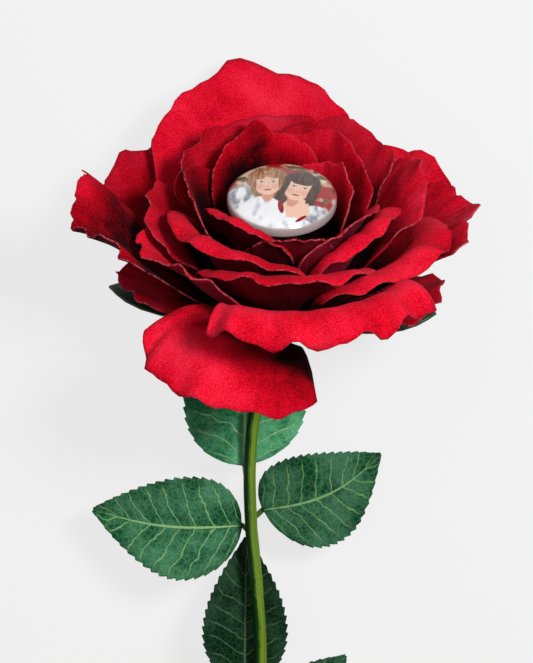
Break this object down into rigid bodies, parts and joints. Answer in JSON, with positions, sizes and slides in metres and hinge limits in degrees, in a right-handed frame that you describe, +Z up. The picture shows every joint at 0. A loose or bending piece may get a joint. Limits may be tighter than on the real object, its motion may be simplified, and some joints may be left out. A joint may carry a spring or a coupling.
{
  "type": "artificial fabric rose with picture button",
  "caption": "Artificial velvet rose in full bloom, lying down, with a round picture button at its heart, a moulded calyx, a wired stem and sprays of veined cloth leaves.",
  "frame": {"origin": "bottom centre of the bounding box of the rose as it lies on a table", "axes": "+Y from the cut end of the stem to the head, +Z up from the table"},
  "size_m": [0.1234, 0.4356, 0.1023],
  "materials": {
    "petal_velvet": "velvet",
    "leaf_cloth": "satin",
    "stem_plastic": "satin",
    "calyx_plastic": "matt",
    "core_foam": "matt",
    "shell_tin": "bright",
    "print_face": "gloss",
    "wire_steel": "drawn"
  },
  "bodies": {
    "root": {"petal_heart_front_left": "petal_velvet", "petal_heart_front": "petal_velvet", "petal_heart_right": "petal_velvet", "petal_heart_back": "petal_velvet", "petal_heart_left": "petal_velvet", "petal_heart_front_right": "petal_velvet", "petal_second_front_left": "petal_velvet", "petal_second_right": "petal_velvet", "petal_second_back": "petal_velvet", "petal_third_right": "petal_velvet", "petal_third_left": "petal_velvet", "petal_third_back_left": "petal_velvet", "petal_third_back_right": "petal_velvet", "petal_fourth_front": "petal_velvet", "petal_fourth_left": "petal_velvet", "petal_fourth_right": "petal_velvet", "petal_fourth_back": "petal_velvet", "petal_outer_back": "petal_velvet", "petal_outer_back_left": "petal_velvet", "petal_outer_left": "petal_velvet", "petal_outer_back_right": "petal_velvet", "petal_outer_right": "petal_velvet", "petal_outer_front_right": "petal_velvet", "petal_outer_front_left": "petal_velvet", "petal_under_left": "petal_velvet", "petal_under_right": "petal_velvet", "petal_under_back_left": "petal_velvet", "petal_under_back_right": "petal_velvet", "core": "core_foam", "calyx": "calyx_plastic", "button_shell": "shell_tin", "button_face": "print_face", "stem": "stem_plastic", "stem_wire": "wire_steel", "upper_spray": "stem_plastic", "lower_spray": "stem_plastic", "leaf_upper": "leaf_cloth", "leaf_upper_left": "leaf_cloth", "leaf_upper_right": "leaf_cloth", "leaf_lower": "leaf_cloth", "leaf_lower_left": "leaf_cloth", "leaf_lower_right": "leaf_cloth"}
  },
  "joints": []
}
